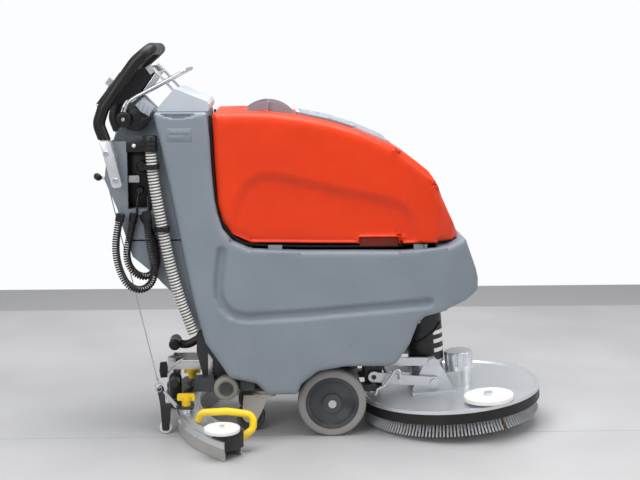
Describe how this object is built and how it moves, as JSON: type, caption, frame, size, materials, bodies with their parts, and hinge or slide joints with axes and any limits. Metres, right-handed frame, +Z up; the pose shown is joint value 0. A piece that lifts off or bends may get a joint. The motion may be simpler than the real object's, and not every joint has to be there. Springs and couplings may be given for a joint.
{
  "type": "ride on scrubber",
  "caption": "Walk-behind floor scrubber-dryer with a round brush deck, curved squeegee, tipping recovery tank and push handle.",
  "frame": {"origin": "centre of the box that the machine stands in, at floor level", "axes": "+X forward towards the brush deck, +Y left as the operator stands behind the handle, +Z up"},
  "size_m": [1.3198, 0.79, 1.139],
  "materials": {
    "battery_core": "satin",
    "beige_metal": "matte",
    "black_plastic": "matte",
    "black_rubber": "matte",
    "blade_rubber": "matte",
    "bright_steel": "satin",
    "bristle_plastic": "matte",
    "cap_plastic": "matte",
    "cast_aluminium": "satin",
    "cord_rubber": "matte",
    "dark_plastic": "matte",
    "dark_tyre": "matte",
    "frame_steel": "matte",
    "grey_moulding": "matte",
    "grey_tyre": "matte",
    "hose_plastic": "matte",
    "motor_black": "matte",
    "pale_moulding": "matte",
    "panel_plastic": "matte",
    "red_moulding": "gloss",
    "slate_plastic": "matte",
    "switch_plastic": "gloss",
    "white_plastic": "gloss",
    "yellow_plastic": "gloss"
  },
  "bodies": {
    "chassis": {"body_shell": "grey_moulding", "chassis_frame": "frame_steel", "tower_cowl": "pale_moulding", "rear_upper_cover": "grey_moulding", "rear_lower_cover": "grey_moulding", "fasteners": "bright_steel", "handle_tube": "bright_steel", "handle_grip": "black_rubber", "dash_housing": "black_plastic", "dash_panel": "panel_plastic", "dash_struts": "cast_aluminium", "switch_housings": "black_plastic", "drain_hose": "hose_plastic", "clips_and_glands": "black_plastic", "curly_cord_outer": "cord_rubber", "curly_cord_inner": "cord_rubber", "main_axle": "bright_steel", "tank_hinge": "bright_steel", "batteries": "battery_core", "filter_unit": "dark_plastic"},
    "right_wheel": {"wheel_rim_right": "slate_plastic", "wheel_tyre_right": "grey_tyre"},
    "left_wheel": {"wheel_rim_left": "slate_plastic", "wheel_tyre_left": "grey_tyre"},
    "right_castor": {"castor_fork_right": "beige_metal"},
    "left_castor": {"castor_fork_left": "beige_metal"},
    "right_castor_roll": {"castor_wheel_right": "dark_tyre"},
    "left_castor_roll": {"castor_wheel_left": "dark_tyre"},
    "tank": {"recovery_tank": "red_moulding", "lid_cheeks": "pale_moulding"},
    "lid": {"tank_lid": "pale_moulding"},
    "bail_frame": {"bail": "bright_steel"},
    "brush_switch": {"rocker_brush": "switch_plastic"},
    "vacuum_switch": {"rocker_vacuum": "switch_plastic"},
    "key": {"key_switch": "bright_steel"},
    "lever": {"lift_lever": "bright_steel"},
    "cable": {"lift_cable": "bright_steel"},
    "pedal": {"foot_pedal": "black_plastic"},
    "strainer_cap": {"filter_cap": "cap_plastic"},
    "squeegee_lift_arm": {"squeegee_arm": "bright_steel"},
    "squeegee": {"squeegee_carrier": "frame_steel", "squeegee_body": "cast_aluminium", "squeegee_blades": "blade_rubber", "squeegee_fittings": "black_plastic", "bumper_hoops": "yellow_plastic"},
    "right_knob": {"wing_knob_right": "yellow_plastic"},
    "left_knob": {"wing_knob_left": "yellow_plastic"},
    "right_bumper": {"bump_roller_right": "white_plastic"},
    "left_bumper": {"bump_roller_left": "white_plastic"},
    "right_support": {"support_wheel_right": "white_plastic"},
    "left_support": {"support_wheel_left": "white_plastic"},
    "deck_upper_link": {"upper_arm": "cast_aluminium"},
    "deck_lower_link": {"lower_arm": "cast_aluminium"},
    "deck": {"deck_cover": "cast_aluminium", "skirt_ring": "black_rubber", "gearbox": "cast_aluminium", "brush_motor": "motor_black", "deck_brackets": "cast_aluminium"},
    "brush_body": {"brush": "bristle_plastic"},
    "corner_roller": {"front_roller": "white_plastic"}
  },
  "joints": [
    {"name": "right_wheel_spin", "type": "hinge", "parent": "chassis", "child": "right_wheel", "pos_m": [0.0166, -0.155, 0.1], "axis": [0, 1, 0], "continuous": true},
    {"name": "left_wheel_spin", "type": "hinge", "parent": "chassis", "child": "left_wheel", "pos_m": [0.0166, 0.155, 0.1], "axis": [0, 1, 0], "continuous": true},
    {"name": "right_castor_swivel", "type": "hinge", "parent": "chassis", "child": "right_castor", "pos_m": [-0.1814, -0.097, 0.11], "axis": [0, 0, 1], "continuous": true},
    {"name": "right_castor_spin", "type": "hinge", "parent": "right_castor", "child": "right_castor_roll", "pos_m": [-0.2214, -0.097, 0.042], "axis": [0, 1, 0], "continuous": true},
    {"name": "left_castor_swivel", "type": "hinge", "parent": "chassis", "child": "left_castor", "pos_m": [-0.1814, 0.097, 0.11], "axis": [0, 0, 1], "continuous": true},
    {"name": "left_castor_spin", "type": "hinge", "parent": "left_castor", "child": "left_castor_roll", "pos_m": [-0.2214, 0.097, 0.042], "axis": [0, 1, 0], "continuous": true},
    {"name": "tank_tilt", "type": "hinge", "parent": "chassis", "child": "tank", "pos_m": [0.0666, 0.204, 0.566], "axis": [-1, 0, 0], "range_deg": [0, 75]},
    {"name": "lid_open", "type": "hinge", "parent": "tank", "child": "lid", "pos_m": [-0.1644, 0, 0.905], "axis": [0, -1, 0], "range_deg": [0, 95]},
    {"name": "bail_squeeze", "type": "hinge", "parent": "chassis", "child": "bail_frame", "pos_m": [-0.5724, 0, 0.925], "axis": [0, -1, 0], "range_deg": [0, 24], "stiffness_Nm_per_rad": 2, "springref_deg": -17.19},
    {"name": "brush_rocker_tip", "type": "hinge", "parent": "chassis", "child": "brush_switch", "pos_m": [-0.59368, 0.062, 1.04166], "axis": [0, 1, 0], "range_deg": [-8, 8]},
    {"name": "vacuum_rocker_tip", "type": "hinge", "parent": "chassis", "child": "vacuum_switch", "pos_m": [-0.62296, 0.022, 1.00363], "axis": [0, 1, 0], "range_deg": [-8, 8]},
    {"name": "key_turn", "type": "hinge", "parent": "chassis", "child": "key", "pos_m": [-0.6068, -0.04, 1.01642], "axis": [-0.7923, 0, 0.6102], "range_deg": [0, 90]},
    {"name": "squeegee_raise", "type": "hinge", "parent": "chassis", "child": "squeegee_lift_arm", "pos_m": [-0.2454, 0, 0.158], "axis": [0, 1, 0], "range_deg": [0, 10]},
    {"name": "lever_swing", "type": "hinge", "parent": "chassis", "child": "lever", "pos_m": [-0.5434, -0.136, 0.757], "axis": [0, 1, 0], "range_deg": [0, 33]},
    {"name": "cable_travel", "type": "slide", "parent": "chassis", "child": "cable", "axis": [0.0983, 0, 0.9952], "range_m": [0, 0.0428]},
    {"name": "squeegee_swivel", "type": "hinge", "parent": "squeegee_lift_arm", "child": "squeegee", "pos_m": [-0.4534, 0, 0.11], "axis": [0, 0, 1], "range_deg": [-10, 10]},
    {"name": "right_knob_turn", "type": "hinge", "parent": "squeegee", "child": "right_knob", "pos_m": [-0.4094, -0.15, 0.11], "axis": [0, 0, 1], "continuous": true},
    {"name": "right_bumper_spin", "type": "hinge", "parent": "squeegee", "child": "right_bumper", "pos_m": [-0.2984, -0.345, 0.082], "axis": [0, 0, 1], "continuous": true},
    {"name": "right_support_spin", "type": "hinge", "parent": "squeegee", "child": "right_support", "pos_m": [-0.4724, -0.12, 0.019], "axis": [0, 1, 0], "continuous": true},
    {"name": "left_knob_turn", "type": "hinge", "parent": "squeegee", "child": "left_knob", "pos_m": [-0.4094, 0.15, 0.11], "axis": [0, 0, 1], "continuous": true},
    {"name": "left_bumper_spin", "type": "hinge", "parent": "squeegee", "child": "left_bumper", "pos_m": [-0.2984, 0.345, 0.082], "axis": [0, 0, 1], "continuous": true},
    {"name": "left_support_spin", "type": "hinge", "parent": "squeegee", "child": "left_support", "pos_m": [-0.4724, 0.12, 0.019], "axis": [0, 1, 0], "continuous": true},
    {"name": "deck_lower", "type": "hinge", "parent": "chassis", "child": "deck_upper_link", "pos_m": [0.1466, 0, 0.198], "axis": [0, 1, 0], "range_deg": [0, 6.3]},
    {"name": "lower_link_swing", "type": "hinge", "parent": "chassis", "child": "deck_lower_link", "pos_m": [0.1466, 0, 0.15], "axis": [0, 1, 0], "range_deg": [0, 6.5]},
    {"name": "deck_level", "type": "hinge", "parent": "deck_upper_link", "child": "deck", "pos_m": [0.32062, 0, 0.19621], "axis": [0, 1, 0], "range_deg": [-1.9, 0]},
    {"name": "brush_spin", "type": "hinge", "parent": "deck", "child": "brush_body", "pos_m": [0.3856, 0, 0.097], "axis": [-0.0785, 0, 0.9969], "continuous": true},
    {"name": "corner_roller_spin", "type": "hinge", "parent": "deck", "child": "corner_roller", "pos_m": [0.47024, -0.206, 0.1177], "axis": [-0.0785, 0, 0.9969], "continuous": true},
    {"name": "pedal_swing", "type": "hinge", "parent": "chassis", "child": "pedal", "pos_m": [-0.3674, 0.098, 0.27], "axis": [0, 1, 0], "range_deg": [0, 15.8]},
    {"name": "strainer_cap_turn", "type": "hinge", "parent": "chassis", "child": "strainer_cap", "pos_m": [-0.2914, -0.16, 0.15], "axis": [0, 1, 0], "continuous": true}
  ],
  "couplings": [
    {"joint": "lever_swing", "follows": "squeegee_raise", "ratio": 3.3},
    {"joint": "cable_travel", "follows": "squeegee_raise", "m_per_rad": 0.2447},
    {"joint": "lower_link_swing", "follows": "deck_lower", "ratio": 1.02},
    {"joint": "deck_level", "follows": "deck_lower", "ratio": -0.29},
    {"joint": "pedal_swing", "follows": "deck_lower", "ratio": 2.5}
  ]
}
